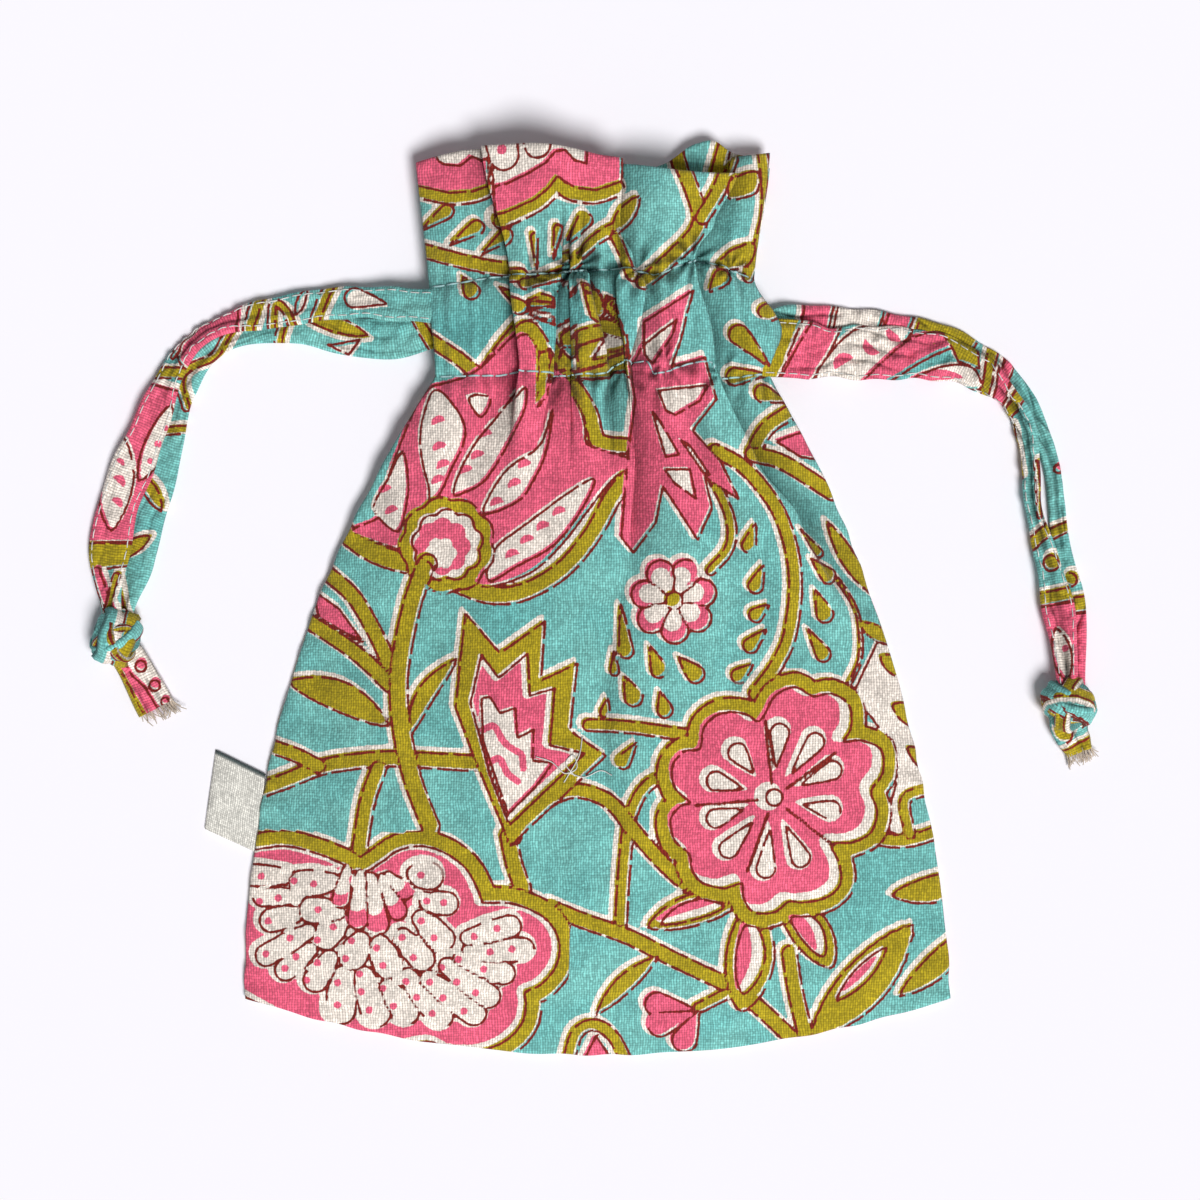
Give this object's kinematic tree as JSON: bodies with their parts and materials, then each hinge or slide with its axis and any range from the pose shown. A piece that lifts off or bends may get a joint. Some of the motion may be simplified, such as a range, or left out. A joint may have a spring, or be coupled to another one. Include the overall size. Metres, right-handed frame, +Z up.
{
  "type": "drawstring pouch",
  "caption": "Small printed cotton pouch lying flat, its neck gathered in a stitched casing on two knotted fabric drawstrings.",
  "frame": {"origin": "on the floor under the middle of the bag, on the underside of the back panel", "axes": "+X to the right side seam, +Y to the mouth, +Z up from the floor through the front panel"},
  "size_m": [0.2219, 0.2009, 0.015],
  "materials": {
    "printed_cotton": "plain-weave cotton, block printed in pink, olive, maroon and off-white on turquoise",
    "printed_tape": "the same printed cotton folded into a tape and edge stitched",
    "woven_label": "undyed woven cotton tape, bare",
    "sewing_thread": "pale cotton sewing thread"
  },
  "bodies": {
    "root": {"front_panel": "printed_cotton", "back_panel": "printed_cotton", "left_drawstring": "printed_tape", "right_drawstring": "printed_tape", "left_knot": "printed_tape", "right_knot": "printed_tape", "side_label": "woven_label"}
  },
  "joints": []
}
